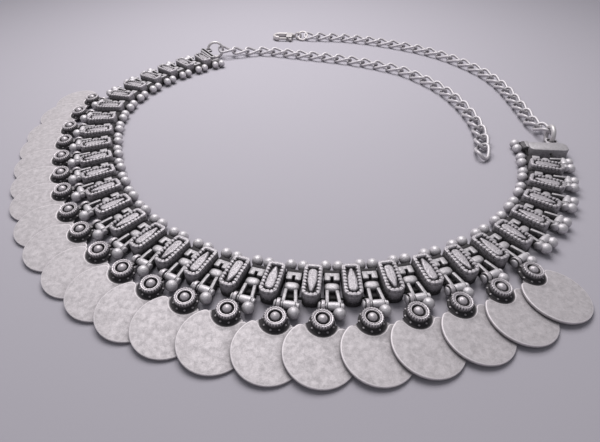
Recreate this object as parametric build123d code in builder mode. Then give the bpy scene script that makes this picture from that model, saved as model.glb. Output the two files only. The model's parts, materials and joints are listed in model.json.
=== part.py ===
from build123d import *

import os
from math import acos, asin, atan2, cos, degrees, floor, hypot, radians, sin, tan

# Kuchi collar necklace, lying flat with its clasp open. Millimetres, +Z up, the floor at z = 0.
# The collar is followed along its inner row of balls, from its right end round to its left end.
# In a place on the collar x runs along it towards the left end, y outward and z up.

# The collar's path: pitch of its units, and how far each stretch of four units turns
unit_pitch = 9.05
stretch_units = 4
stretch_turns = (35, 31, 25, 30, 28, 16, 39, 29)
path_start = (82.4, -13.7)
path_start_heading = -94.2

# How far the units lean along the collar, at shares of its length
lean_table = (
    dict(share=0.00, lean=1.0),
    dict(share=0.25, lean=2.0),
    dict(share=0.38, lean=4.5),
    dict(share=0.44, lean=4.0),
    dict(share=0.50, lean=-4.0),
    dict(share=0.56, lean=-5.0),
    dict(share=0.66, lean=-4.5),
    dict(share=0.75, lean=0.0),
    dict(share=1.00, lean=-1.0),
)

# Two threads that the collar is strung on
thread_diameter = 0.6
thread_hole = 1.5
thread_height = 2.0
inner_thread_reach = 2.8
outer_thread_reach = 10.9
thread_end_gap = 0.4

# Frame link: a tall box with a raised rim and a teardrop pad in its sunk top
frame_length = 10.6
frame_width = 4.8
frame_foot = 0.1
frame_top = 5.0
frame_reach = 1.7
frame_inner_round = 1.3
frame_outer_round = 2.0
well_round = 0.5
frame_rim = 1.0
frame_sink = 1.0
pad_rise = 0.8
pad_length = 7.4
pad_radius = 1.2
rim_bevel = 0.25

# Ball link: paired balls, a bracket, a cushion, a splayed bracket and a cross bar
ball_diameter = 3.2
ball_spacing = 3.3
ball_height = 2.0
outer_ball_diameter = 3.1
outer_ball_spacing = 3.5
outer_ball_reach = 15.3
stem_diameter = 1.4
tube_diameter = 2.4
tube_length = 4.2
leg_foot = 0.7
leg_top = 3.3
inner_leg_width = 1.6
inner_leg_spacing = 2.3
inner_leg_end = 5.5
outer_leg_width = 0.9
outer_leg_start = 9.2
outer_leg_spacing = 2.4
outer_leg_splay = 0.7
outer_leg_sink = 0.4
spine_width = 2.2
spine_foot = 0.3
spine_top = 1.5
cushion_length = 2.6
cushion_width = 3.9
cushion_reach = 7.7
cushion_top = 3.2
bar_diameter = 1.7
bar_length = 5.8
bar_reach = 13.5
bar_height = 2.4
bar_cap_diameter = 2.3
bar_cap_length = 0.4
sleeve_diameter = 2.3
sleeve_end_gap = 0.5

# Pendant: a bail on the cross bar, a beaded boss and a bitten disc
pendant_count = 21
first_hanger = 6
bail_gap = 0.2
bail_thickness = 0.5
bail_width = 0.9
bail_place = 2.25
bail_side_gap = 0.25
bail_rise = 0.25
boss_reach = 4.6
boss_diameter = 5.4
boss_rise = 2.0
boss_rim = 0.75
boss_sink = 0.7
dome_diameter = 2.4
neck_width = 1.8
neck_thickness = 1.2
disc_diameter = 17.0
disc_thickness = 0.8
disc_reach = 12.2
bite_diameter = 7.8
web_thickness = 0.45
web_lap = 0.5
ear_round = 0.8
disc_bevel = 0.25
lap_gap = 0.32
floor_gap = 0.05
swing = 1.8
swing_rhythm = 2.7
settling_steps = 8

# End bars: a ball pair, a bracket, a block set back towards the collar and a pierced lug. The
# side is the way along the collar to the free end.
end_bar_length = 13.3
end_bar_reach = 3.7
end_bar_round = 1.2
lug_thickness = 1.1
lug_tip = 0.35
lug_cheek = 0.6
slot_side_gap = 0.7
slot_end_gap = 0.55
end_table = (
    dict(name="right", side=-1, width=5.2, top=3.7, set_back=1.7, lug_length=3.8, lug_reach=13.0,
         lug_height=2.6),
    dict(name="left", side=1, width=2.8, top=4.7, set_back=0.6, lug_length=2.1, lug_reach=13.8,
         lug_height=4.25),
)

# Jump rings, standing in the lugs: how far each turns in its slot, and how far its chain turns
# from it
wire_rounding = 0.3
ring_table = dict(
    right=dict(diameter=7.6, wire=1.6, turn=0, leave_turn=15),
    left=dict(diameter=8.5, wire=1.2, turn=-24, leave_turn=0),
)

# Chain links
link_pitch = 6.7
link_wire = 1.15
link_width = 5.6
link_slack = 0.3
link_roll = 36
chain_turn_share = 0.45
ring_hold = 2.2
chain_slope = 10

# Routes of the two chains from their first links on: places on the floor, and the height above
# where a link rests
right_chain_route = (
    dict(x=95.0, y=19.9, lift=0.0),
    dict(x=94.4, y=35.8, lift=0.0),
    dict(x=91.7, y=48.8, lift=0.0),
    dict(x=85.9, y=60.3, lift=0.0),
    dict(x=77.9, y=71.7, lift=0.0),
    dict(x=67.1, y=81.6, lift=0.0),
    dict(x=54.9, y=88.9, lift=0.0),
    dict(x=41.9, y=95.3, lift=0.0),
    dict(x=27.9, y=99.9, lift=0.0),
    dict(x=7.7, y=101.6, lift=0.4),
)
left_chain_route = (
    dict(x=-15.8, y=80.8, lift=0.0),
    dict(x=-6.8, y=79.3, lift=0.0),
    dict(x=5.2, y=75.3, lift=0.0),
    dict(x=17.7, y=71.9, lift=0.0),
    dict(x=30.0, y=67.6, lift=0.0),
    dict(x=42.1, y=61.7, lift=0.0),
    dict(x=53.1, y=54.9, lift=0.0),
    dict(x=61.4, y=44.6, lift=0.0),
    dict(x=67.9, y=33.1, lift=0.0),
    dict(x=71.6, y=19.9, lift=0.0),
    dict(x=73.2, y=7.3, lift=0.0),
    dict(x=72.7, y=-5.2, lift=0.0),
    dict(x=68.9, y=-19.2, lift=0.0),
)

# Lobster clasp on its own ring at the end of the right chain: an upright eye on a neck, a base, a
# claw open on one side, and a lever that turns on a pin and closes it
clasp_ring_diameter = 6.0
clasp_ring_wire = 1.0
clasp_ring_reach = 5.2
clasp_width = 7.2
clasp_foot = 0.1
clasp_thickness = 2.6
clasp_eye_diameter = 4.0
clasp_eye_hole = 2.2
clasp_eye_height = 2.1
clasp_eye_thickness = 0.9
clasp_neck_length = 3.2
clasp_neck_depth = 2.0
clasp_base_length = 3.2
claw_length = 10.2
claw_wire = 1.5
claw_gap_end = 11.8
lever_thickness = 1.0
lever_side_gap = 0.15
lever_width = 1.2
lever_nose_gap = 0.3
lever_turn_room = 1.3
pivot_place = (5.2, 2.1)
pivot_pin = 0.9
pivot_gap = 0.06
pivot_eye = 2.2
tab_place = (4.0, 3.7)
tab_diameter = 1.5
edge_round = 0.5

# Values worked out from the sizes above
unit_count = stretch_units * len(stretch_turns)
path_length = unit_pitch * unit_count
last_hanger = first_hanger + pendant_count - 1
link_rest = (link_width - link_wire) / 2 * sin(radians(link_roll)) + link_wire / 2 + floor_gap


def stretches(offset=0.0):
    """The arcs of a line that runs beside the path: where each starts, its radius and turn."""
    x, y = path_start
    heading = radians(path_start_heading)
    for number, turn in enumerate(stretch_turns):
        radius = stretch_units * unit_pitch / radians(turn)
        centre = (x + radius * sin(heading), y - radius * cos(heading))
        yield dict(start=number * stretch_units * unit_pitch, centre=centre, radius=radius,
                   offset_radius=radius + offset, heading=heading, turn=turn)
        heading -= radians(turn)
        x = centre[0] - radius * sin(heading)
        y = centre[1] + radius * cos(heading)


def place(distance, lean=0.0):
    """The place on the collar at a distance along its path, leaning by an angle."""
    for stretch in stretches():
        if distance >= stretch["start"] or stretch["start"] == 0:
            arc = stretch
    heading = arc["heading"] - (distance - arc["start"]) / arc["radius"]
    x = arc["centre"][0] - arc["radius"] * sin(heading)
    y = arc["centre"][1] + arc["radius"] * cos(heading)
    heading -= radians(lean)
    return Plane(origin=(x, y, 0), x_dir=(cos(heading), sin(heading), 0), z_dir=(0, 0, 1))


def lean_at(distance):
    """How far a unit leans there, between the rows of the table."""
    share = distance / path_length
    for low, high in zip(lean_table, lean_table[1:]):
        if share <= high["share"]:
            break
    part = (share - low["share"]) / (high["share"] - low["share"])
    return low["lean"] + (high["lean"] - low["lean"]) * part


def unit_place(station):
    """The place of the unit at a station, counted in pitches from the right end."""
    distance = station * unit_pitch
    return place(distance, lean_at(distance))


def point_on(spot, x, y, z):
    """The point at local x, y, z in a place."""
    return spot.from_local_coords(Vector(x, y, z))


# Frame link, and the same with its pad turned round
def frame_outline(shrink):
    """The frame's outline, its outer end rounder than its inner end, shrunk all round."""
    with BuildSketch() as outline:
        with Locations((0, frame_reach + frame_length / 2)):
            Rectangle(frame_width - 2 * shrink, frame_length - 2 * shrink)
        fillet(outline.vertices().group_by(Axis.Y)[0], max(frame_inner_round - shrink, well_round))
        fillet(outline.vertices().group_by(Axis.Y)[-1], max(frame_outer_round - shrink, well_round))
    return outline.sketch


def teardrop(tip_side):
    """A teardrop as long as the pad: a round end and a point, the point out if the side is 1."""
    round_place = frame_reach + frame_length / 2 - tip_side * (pad_length / 2 - pad_radius)
    tip_gap = pad_length - pad_radius
    touch = acos(pad_radius / tip_gap)
    across = pad_radius * sin(touch)
    along = pad_radius * cos(touch)
    with BuildSketch() as drop:
        with Locations((0, round_place)):
            Circle(pad_radius)
        with BuildLine():
            Polyline(
                (-across, round_place + tip_side * along),
                (across, round_place + tip_side * along),
                (0, round_place + tip_side * tip_gap),
                close=True,
            )
        make_face()
    return drop.sketch


def frame_link(tip_side):
    """One frame link at the origin."""
    outline = frame_outline(0)
    well = frame_outline(frame_rim)
    drop = teardrop(tip_side)
    with BuildPart() as link:
        with BuildSketch(Plane.XY.offset(frame_foot)):
            add(outline)
        extrude(amount=frame_top - frame_foot)
        chamfer(link.faces().sort_by(Axis.Z)[-1].edges(), rim_bevel)
        with BuildSketch(Plane.XY.offset(frame_top)):
            add(well)
        extrude(amount=-frame_sink, mode=Mode.SUBTRACT)
        with BuildSketch(Plane.XY.offset(frame_top - frame_sink)):
            add(drop)
        extrude(amount=pad_rise)
        for reach in (inner_thread_reach, outer_thread_reach):
            with BuildSketch(Plane.YZ):
                with Locations((reach, thread_height)):
                    Circle(thread_hole / 2)
            extrude(amount=frame_width, both=True, mode=Mode.SUBTRACT)
    return link.part


# Ball link: a hanger keeps one side of its bar free for a bail
def bar_along(reach, height, diameter, length, middle=0.0):
    """A round bar along the collar, added to the part in hand."""
    with Locations((middle, reach, height)):
        Cylinder(diameter / 2, length, rotation=(0, 90, 0))


def leg(start, end, width):
    """An upright strip from one point to another in plan, added to the part in hand."""
    run = hypot(end[0] - start[0], end[1] - start[1])
    turn = degrees(atan2(end[1] - start[1], end[0] - start[0]))
    middle = ((start[0] + end[0]) / 2, (start[1] + end[1]) / 2, (leg_foot + leg_top) / 2)
    with Locations(middle):
        Box(run + width / 2, width, leg_top - leg_foot, rotation=(0, 0, turn))


def ball_link(hanger):
    """One ball link at the origin."""
    with BuildPart() as link:
        with BuildSketch(Plane.XY.offset(spine_foot)):
            with Locations((0, (inner_thread_reach + bar_reach) / 2)):
                Rectangle(spine_width, bar_reach - inner_thread_reach)
        extrude(amount=spine_top - spine_foot)
        bar_along(inner_thread_reach, thread_height, tube_diameter, tube_length)
        for side in (-1, 1):
            with BuildSketch(Plane.XZ):
                with Locations((side * ball_spacing / 2, ball_height)):
                    Circle(stem_diameter / 2)
            extrude(amount=-inner_thread_reach)
            with Locations((side * ball_spacing / 2, 0, ball_height)):
                Sphere(ball_diameter / 2)
            across = side * inner_leg_spacing / 2
            leg((across, inner_thread_reach), (across, inner_leg_end), inner_leg_width)
            splay = 0 if hanger and side == 1 else side * outer_leg_splay
            across = side * outer_leg_spacing / 2
            leg((across, outer_leg_start), (across + splay, bar_reach - outer_leg_sink),
                outer_leg_width)
        with BuildSketch(Plane.XY.offset(spine_foot)):
            with Locations((0, cushion_reach)):
                Ellipse(cushion_width / 2, cushion_length / 2)
        extrude(amount=cushion_top - spine_foot)
        fillet(link.faces().filter_by(Plane.XY).sort_by(
            lambda face: abs(face.center().Y - cushion_reach) + cushion_top - face.center().Z
        )[0].edges(), edge_round)
        bar_along(bar_reach, bar_height, bar_diameter, bar_length)
        bar_along(bar_reach, bar_height, bar_cap_diameter, bar_cap_length,
                  (bar_length + bar_cap_length) / 2)
        sleeve_start = -bar_length / 2 + sleeve_end_gap
        sleeve_end = bail_place - bail_width / 2 - bail_side_gap
        bar_along(bar_reach, bar_height, sleeve_diameter, sleeve_end - sleeve_start,
                  (sleeve_start + sleeve_end) / 2)
        for side in (-1,) if hanger else (-1, 1):
            with Locations((side * outer_ball_spacing / 2, outer_ball_reach, ball_height)):
                Sphere(outer_ball_diameter / 2)
        for reach in (inner_thread_reach, outer_thread_reach):
            with BuildSketch(Plane.YZ):
                with Locations((reach, thread_height)):
                    Circle(thread_hole / 2)
            extrude(amount=unit_pitch / 2, both=True, mode=Mode.SUBTRACT)
    return link.part


os.makedirs("parts", exist_ok=True)

frames = {side: frame_link(side) for side in (-1, 1)}
balls = {hanger: ball_link(hanger) for hanger in (False, True)}
middle_unit = unit_count // 2

with BuildPart() as frame_links_right:
    for unit in range(1, middle_unit):
        with Locations(unit_place(unit + 0.5)):
            add(frames[1 if unit % 2 else -1])
frame_links_right.part.label = "frame_links_right"
export_step(frame_links_right.part, "parts/frame_links_right.step")

with BuildPart() as frame_links_left:
    for unit in range(middle_unit, unit_count):
        with Locations(unit_place(unit + 0.5)):
            add(frames[1 if unit % 2 else -1])
frame_links_left.part.label = "frame_links_left"
export_step(frame_links_left.part, "parts/frame_links_left.step")

with BuildPart() as ball_links_right:
    for unit in range(1, middle_unit):
        with Locations(unit_place(unit)):
            add(balls[first_hanger <= unit <= last_hanger])
ball_links_right.part.label = "ball_links_right"
export_step(ball_links_right.part, "parts/ball_links_right.step")

with BuildPart() as ball_links_left:
    for unit in range(middle_unit, unit_count):
        with Locations(unit_place(unit)):
            add(balls[first_hanger <= unit <= last_hanger])
ball_links_left.part.label = "ball_links_left"
export_step(ball_links_left.part, "parts/ball_links_left.step")


# Pendant, made flat with its bail's axis at the origin and its disc outward
bail_inner = bar_diameter / 2 + bail_gap
bail_outer = bail_inner + bail_thickness
disc_floor = -bail_rise - disc_thickness / 2
boss_floor = -bail_rise - web_thickness / 2
boss_top = disc_floor + disc_thickness + boss_rise

with BuildPart() as pendant_form:
    with BuildSketch(Plane.XY.offset(disc_floor)):
        with Locations((0, disc_reach)):
            Circle(disc_diameter / 2)
        with Locations((0, boss_reach)):
            Circle(bite_diameter / 2, mode=Mode.SUBTRACT)
    extrude(amount=disc_thickness)
    ears = pendant_form.edges().filter_by(Axis.Z)
    fillet(ears, ear_round)
    chamfer(pendant_form.faces().sort_by(Axis.Z)[-1].edges(), disc_bevel)
    with BuildSketch(Plane.XY.offset(boss_floor)):
        with Locations((0, boss_reach)):
            Circle(bite_diameter / 2 + web_lap)
        with Locations((0, disc_reach)):
            Circle(disc_diameter / 2 - web_lap, mode=Mode.INTERSECT)
    extrude(amount=web_thickness)
    with BuildSketch(Plane.XY.offset(boss_floor)):
        with Locations((0, boss_reach)):
            Circle(boss_diameter / 2)
    extrude(amount=boss_top - boss_floor)
    with BuildSketch(Plane.XY.offset(boss_top)):
        with Locations((0, boss_reach)):
            Circle(boss_diameter / 2 - boss_rim)
    extrude(amount=-boss_sink, mode=Mode.SUBTRACT)
    with Locations((0, boss_reach, boss_top - boss_sink)):
        Sphere(dome_diameter / 2)
    with BuildSketch(Plane.XY.offset(boss_floor)):
        with Locations((0, (bail_inner + bail_thickness / 2 + boss_reach) / 2)):
            Rectangle(neck_width, boss_reach - bail_inner - bail_thickness / 2)
    extrude(amount=neck_thickness)
    with BuildSketch(Plane.YZ):
        Circle(bail_outer)
    extrude(amount=bail_width / 2, both=True)
    with BuildSketch(Plane.YZ):
        Circle(bail_inner)
    extrude(amount=neck_width, both=True, mode=Mode.SUBTRACT)


def disc_spacing(unit):
    """How far apart the middles of a disc and its neighbours are."""
    out = bar_reach + disc_reach
    here = point_on(unit_place(unit), 0, out, 0)
    gaps = [abs(here - point_on(unit_place(unit + step), 0, out, 0)) for step in (-1, 1)]
    return sum(gaps) / len(gaps)


def pendant_place(unit):
    """Where a unit's pendant hangs: laid over its left neighbour, its outer edge on the floor."""
    lap_tilt = asin((disc_thickness + lap_gap) / disc_spacing(unit))
    droop = 0.0
    for settling in range(settling_steps):
        low = disc_diameter / 2 * hypot(sin(droop), sin(lap_tilt))
        drop = bar_height - bail_rise - disc_thickness / 2 - floor_gap - low
        droop = asin(drop / disc_reach)
    spot = unit_place(unit)
    spot.origin = point_on(spot, bail_place, bar_reach, bar_height)
    turn = Rotation(-degrees(droop), -degrees(lap_tilt), swing * sin(swing_rhythm * unit))
    return Plane(spot.location * turn)


for number in range(pendant_count):
    with BuildPart(pendant_place(first_hanger + number)) as pendant:
        add(pendant_form.part)
    pendant.part.label = f"pendant_{number + 1:02d}"
    export_step(pendant.part, f"parts/pendant_{number + 1:02d}.step")


# End bars
def lug_eye(end):
    """Where the middle of an end bar's slot is along the collar, from its ball pair."""
    slot_half = ring_table[end["name"]]["wire"] / 2 + slot_end_gap
    return end["side"] * (
        end["width"] / 2 - end["set_back"] + end["lug_length"] - lug_tip - slot_half
    )


def end_bar_form(end):
    """An end bar at the origin, as one row of the table gives it."""
    side = end["side"]
    block_middle = -side * end["set_back"]
    with BuildPart() as bar:
        with BuildSketch(Plane.XY.offset(frame_foot)):
            with Locations((block_middle, end_bar_reach + end_bar_length / 2)):
                RectangleRounded(end["width"], end_bar_length, end_bar_round)
        extrude(amount=end["top"] - frame_foot)
        fillet(bar.faces().sort_by(Axis.Z)[-1].edges(), edge_round)
        bar_along(inner_thread_reach, thread_height, tube_diameter, tube_length)
        with BuildSketch(Plane.XY.offset(leg_foot)):
            with Locations((0, (inner_thread_reach + end_bar_reach + edge_round) / 2)):
                Rectangle(tube_length, end_bar_reach + edge_round - inner_thread_reach)
        extrude(amount=leg_top - leg_foot)
        for ball_side in (-1, 1):
            with BuildSketch(Plane.XZ):
                with Locations((ball_side * ball_spacing / 2, ball_height)):
                    Circle(stem_diameter / 2)
            extrude(amount=-inner_thread_reach)
            with Locations((ball_side * ball_spacing / 2, 0, ball_height)):
                Sphere(ball_diameter / 2)
        slot_width = ring_table[end["name"]]["wire"] + 2 * slot_end_gap
        slot_length = ring_table[end["name"]]["wire"] + 2 * slot_side_gap
        lug_middle = block_middle + side * (end["width"] + end["lug_length"] - edge_round) / 2
        with BuildSketch(Plane.XY.offset(end["lug_height"] - lug_thickness / 2)):
            with Locations((lug_middle, end["lug_reach"])):
                Rectangle(end["lug_length"] + edge_round, slot_length + 2 * lug_cheek)
            with Locations((lug_eye(end), end["lug_reach"])):
                SlotOverall(slot_length, slot_width, rotation=90, mode=Mode.SUBTRACT)
        extrude(amount=lug_thickness)
        # Each thread ends in a blind hole that opens towards the collar
        hole_start = Plane.YZ.offset(side * thread_end_gap)
        with BuildSketch(hole_start):
            with Locations((inner_thread_reach, thread_height), (outer_thread_reach, thread_height)):
                Circle(thread_hole / 2)
        extrude(amount=-side * (end["width"] + end["set_back"]), mode=Mode.SUBTRACT)
    return bar.part


def ring_plane(end, ring, spot):
    """A jump ring's upright plane, its x away from the lug: its wire stands in the slot."""
    middle_height = ring["diameter"] / 2 + floor_gap
    slot = point_on(spot, lug_eye(end), end["lug_reach"], middle_height)
    away = (spot.x_dir * end["side"]).rotate(Axis.Z, ring["turn"])
    wire_radius = (ring["diameter"] - ring["wire"]) / 2
    middle = slot + away * (wire_radius ** 2 - (middle_height - end["lug_height"]) ** 2) ** 0.5
    return Plane(origin=middle, x_dir=away, z_dir=away.cross(Vector(0, 0, 1)))


def wire_ring(plane, diameter, wire):
    """A ring of rounded wire in a plane."""
    with BuildPart() as ring:
        with BuildSketch(plane):
            Circle(diameter / 2)
            Circle(diameter / 2 - wire, mode=Mode.SUBTRACT)
        extrude(amount=wire / 2, both=True)
        fillet(ring.edges(), wire * wire_rounding)
    return ring


chain_starts = {}
for end in end_table:
    free_end = path_length if end["side"] == 1 else 0
    end_spot = place(free_end, lean_at(free_end))
    with BuildPart(end_spot) as end_bar:
        add(end_bar_form(end))
    end_bar.part.label = f"end_bar_{end['name']}"
    export_step(end_bar.part, f"parts/end_bar_{end['name']}.step")

    ring = ring_table[end["name"]]
    upright = ring_plane(end, ring, end_spot)
    jump_ring = wire_ring(upright, ring["diameter"], ring["wire"])
    jump_ring.part.label = f"jump_ring_{end['name']}"
    export_step(jump_ring.part, f"parts/jump_ring_{end['name']}.step")

    slope = radians(chain_slope)
    far_wire = upright.origin + upright.x_dir * (ring["diameter"] - ring["wire"]) / 2
    leaving = upright.x_dir.rotate(Axis.Z, ring["leave_turn"]) * cos(slope) - Vector(0, 0, sin(slope))
    first_link = far_wire + leaving * ring_hold
    chain_starts[end["name"]] = [first_link, first_link + leaving * link_pitch]


# Threads: tangent arcs beside the path, from one end bar to the other
def thread_line(reach):
    """A thread's line at a reach from the path, added to the line in hand."""
    for stretch in stretches(reach):
        CenterArc(stretch["centre"], stretch["offset_radius"], degrees(stretch["heading"]) + 90,
                  -stretch["turn"])


for name, reach in (("inner_thread", inner_thread_reach), ("outer_thread", outer_thread_reach)):
    with BuildPart() as thread:
        with BuildLine(Plane.XY.offset(thread_height)) as line:
            thread_line(reach)
        start = line.wire() @ 0
        with BuildSketch(Plane(origin=start, z_dir=line.wire() % 0)):
            Circle(thread_diameter / 2)
        sweep()
    thread.part.label = name
    export_step(thread.part, f"parts/{name}.step")


# Chain links: ovals of round wire, rolled left and right in turn so that each holds the next
with BuildPart() as link_form:
    link_half = (link_pitch + link_slack + link_wire) / 2
    bend = (link_width - link_wire) / 2
    straight = link_half - bend
    with BuildLine() as link_line:
        Line((-straight, -bend), (straight, -bend))
        CenterArc((straight, 0), bend, -90, 180)
        Line((straight, bend), (-straight, bend))
        CenterArc((-straight, 0), bend, 90, 180)
    with BuildSketch(Plane(origin=(-straight, -bend, 0), z_dir=(1, 0, 0))):
        Circle(link_wire / 2)
    sweep()


def rounded_route(start, route):
    """The wire along a chain's straight runs, its corners as wide as the runs allow."""
    points = start + [Vector(row["x"], row["y"], row["lift"] + link_rest) for row in route]
    radii = []
    for before, corner, after in zip(points, points[1:], points[2:]):
        turn = radians((corner - before).get_angle(after - corner))
        run = min(abs(corner - before), abs(after - corner))
        radii.append(chain_turn_share * run / tan(turn / 2))
    with BuildLine() as line:
        FilletPolyline(*points, radius=radii)
    return line.wire()


def link_places(line):
    """A level place for each link along a route, its x along the chain, and the link's roll."""
    for number in range(floor(line.length / link_pitch) + 1):
        share = number * link_pitch / line.length
        along = line % share
        upward = along.cross(Vector(0, 0, 1)).cross(along)
        roll = link_roll if number % 2 else -link_roll
        yield Plane(origin=line @ share, x_dir=along, z_dir=upward), roll


def rolled(level, roll):
    """A level place rolled about its own x."""
    return Plane(level.location * Rotation(roll, 0, 0))


chain_routes = {"right": right_chain_route, "left": left_chain_route}
chain_ends = {}
for name, route in chain_routes.items():
    with BuildPart() as chain:
        for level, roll in link_places(rounded_route(chain_starts[name], route)):
            with Locations(rolled(level, roll)):
                add(link_form.part)
            chain_ends[name] = (level, roll)
    chain.part.label = f"chain_{name}"
    export_step(chain.part, f"parts/chain_{name}.step")


# Clasp ring, rolled as one more link of the right chain, and the clasp, flat on the floor
last_link, last_roll = chain_ends["right"]
clasp_way = Vector(last_link.x_dir.X, last_link.x_dir.Y, 0).normalized()
ring_middle_radius = (clasp_ring_diameter - clasp_ring_wire) / 2
ring_rest = (clasp_ring_diameter / 2 * sin(radians(link_roll))
             + clasp_ring_wire / 2 * cos(radians(link_roll)))
ring_middle = last_link.origin + clasp_way * clasp_ring_reach
clasp_ring_level = Plane(origin=(ring_middle.X, ring_middle.Y, ring_rest), x_dir=clasp_way,
                         z_dir=(0, 0, 1))
clasp_ring = wire_ring(rolled(clasp_ring_level, -last_roll), clasp_ring_diameter, clasp_ring_wire)
clasp_ring.part.label = "clasp_ring"
export_step(clasp_ring.part, "parts/clasp_ring.step")

# The clasp's own frame starts in the middle of its eye, on the floor, x towards its nose
eye_middle = ring_middle + clasp_way * ring_middle_radius
clasp_frame = Plane(origin=(eye_middle.X, eye_middle.Y, 0), x_dir=clasp_way, z_dir=(0, 0, 1))
eye_plane = Plane(origin=(eye_middle.X, eye_middle.Y, clasp_eye_height), x_dir=clasp_way,
                  z_dir=clasp_way.cross(Vector(0, 0, 1)))
base_end = clasp_neck_length + clasp_base_length
claw_middle = clasp_neck_length + claw_length / 2 + edge_round
lever_height = clasp_foot + clasp_thickness / 2

with BuildPart() as clasp_body:
    with BuildSketch(clasp_frame.offset(clasp_foot)):
        with Locations((claw_middle, 0)):
            SlotOverall(claw_length, clasp_width)
            SlotOverall(claw_length - 2 * claw_wire, clasp_width - 2 * claw_wire,
                        mode=Mode.SUBTRACT)
        with Locations((clasp_neck_length + clasp_base_length / 2, 0)):
            RectangleRounded(clasp_base_length, clasp_width - edge_round, edge_round)
        with Locations(((base_end + claw_gap_end) / 2, clasp_width / 2)):
            Rectangle(claw_gap_end - base_end, claw_wire * 2 + edge_round * 2,
                      mode=Mode.SUBTRACT)
    extrude(amount=clasp_thickness)
    with BuildSketch(eye_plane):
        Circle(clasp_eye_diameter / 2)
        with Locations((clasp_neck_length / 2 + edge_round, 0)):
            Rectangle(clasp_neck_length + edge_round * 2, clasp_neck_depth)
        Circle(clasp_eye_hole / 2, mode=Mode.SUBTRACT)
    extrude(amount=clasp_eye_thickness / 2, both=True)
    with BuildSketch(clasp_frame.offset(lever_height - lever_thickness / 2 - lever_side_gap)):
        with Locations((base_end, pivot_place[1] - lever_turn_room)):
            Rectangle(clasp_base_length, clasp_width, align=(Align.MAX, Align.MIN))
    extrude(amount=lever_thickness + 2 * lever_side_gap, mode=Mode.SUBTRACT)
    with BuildSketch(clasp_frame.offset(clasp_foot)):
        with Locations(pivot_place):
            Circle(pivot_pin / 2)
    extrude(amount=clasp_thickness)
clasp_body.part.label = "clasp_body"
export_step(clasp_body.part, "parts/clasp_body.step")

lever_end = claw_gap_end - lever_nose_gap
lever_line = clasp_width / 2 - claw_wire / 2
with BuildPart() as clasp_lever:
    with BuildSketch(clasp_frame.offset(lever_height - lever_thickness / 2)):
        with Locations(pivot_place):
            Circle(pivot_eye / 2)
        with Locations((pivot_place[0], lever_line)):
            Rectangle(lever_end - pivot_place[0], lever_width, align=(Align.MIN, Align.CENTER))
        with BuildLine():
            Polyline(
                pivot_place,
                (pivot_place[0], lever_line + lever_width / 2),
                (tab_place[0] + tab_diameter / 2, tab_place[1]),
                (tab_place[0] - tab_diameter / 2, tab_place[1]),
                close=True,
            )
        make_face()
        with Locations(tab_place):
            Circle(tab_diameter / 2)
        with Locations(pivot_place):
            Circle(pivot_pin / 2 + pivot_gap, mode=Mode.SUBTRACT)
    extrude(amount=lever_thickness)
clasp_lever.part.label = "clasp_lever"
export_step(clasp_lever.part, "parts/clasp_lever.step")

print("The lever turns about", point_on(clasp_frame, *pivot_place, lever_height))
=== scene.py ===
import json
import math

import bmesh
import bpy
import numpy as np
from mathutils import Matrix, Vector
from mathutils.geometry import delaunay_2d_cdt


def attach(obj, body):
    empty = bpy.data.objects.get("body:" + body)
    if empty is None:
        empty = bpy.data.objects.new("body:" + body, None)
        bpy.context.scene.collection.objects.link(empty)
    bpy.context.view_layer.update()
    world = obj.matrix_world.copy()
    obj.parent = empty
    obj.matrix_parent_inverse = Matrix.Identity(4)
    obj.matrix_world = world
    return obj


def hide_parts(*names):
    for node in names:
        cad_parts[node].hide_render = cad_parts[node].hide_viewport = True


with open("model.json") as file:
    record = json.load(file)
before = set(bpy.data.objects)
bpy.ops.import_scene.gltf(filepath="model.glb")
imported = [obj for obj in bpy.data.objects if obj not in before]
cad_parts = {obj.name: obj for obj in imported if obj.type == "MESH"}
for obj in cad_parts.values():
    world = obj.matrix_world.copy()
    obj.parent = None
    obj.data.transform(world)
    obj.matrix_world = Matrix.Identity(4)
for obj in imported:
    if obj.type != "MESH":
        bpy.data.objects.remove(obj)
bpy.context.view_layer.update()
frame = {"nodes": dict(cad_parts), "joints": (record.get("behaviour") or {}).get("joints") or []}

# Sizes are in millimetres, in the part's own frame, and turned into metres as a mesh is made.
# In a place on the collar x runs along it towards the left end, y outward and z up.
MM = 0.001
UP = np.array([0.0, 0.0, 1.0])

# The collar's path, as in the part: its turns, and how a unit leans at shares of it, in degrees
unit_pitch = 9.05
stretch_units = 4
stretch_turns = (35, 31, 25, 30, 28, 16, 39, 29)
path_start = (82.4, -13.7)
path_start_heading = -94.2
lean_shares = (0.00, 0.25, 0.38, 0.44, 0.50, 0.56, 0.66, 0.75, 1.00)
lean_angles = (1.0, 2.0, 4.5, 4.0, -4.0, -5.0, -4.5, 0.0, -1.0)
unit_count = stretch_units * len(stretch_turns)
middle_unit = unit_count // 2

# Frame links
frame_length = 10.6
frame_width = 4.8
frame_foot = 0.1
frame_top = 5.0
frame_reach = 1.7
frame_inner_round = 1.3
frame_outer_round = 2.0
frame_least_round = 0.25
rope_inset = 0.56
rope_drop = 0.56
rope_pitch = 1.05
rope_skew = 0.15
pad_length = 7.4
pad_radius = 1.2
pad_tip_radius = 0.42
pad_least_tip = 0.08
pad_top = 4.85
pad_taper_share = 1 / 1.9
pad_taper_power = 1.25

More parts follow.
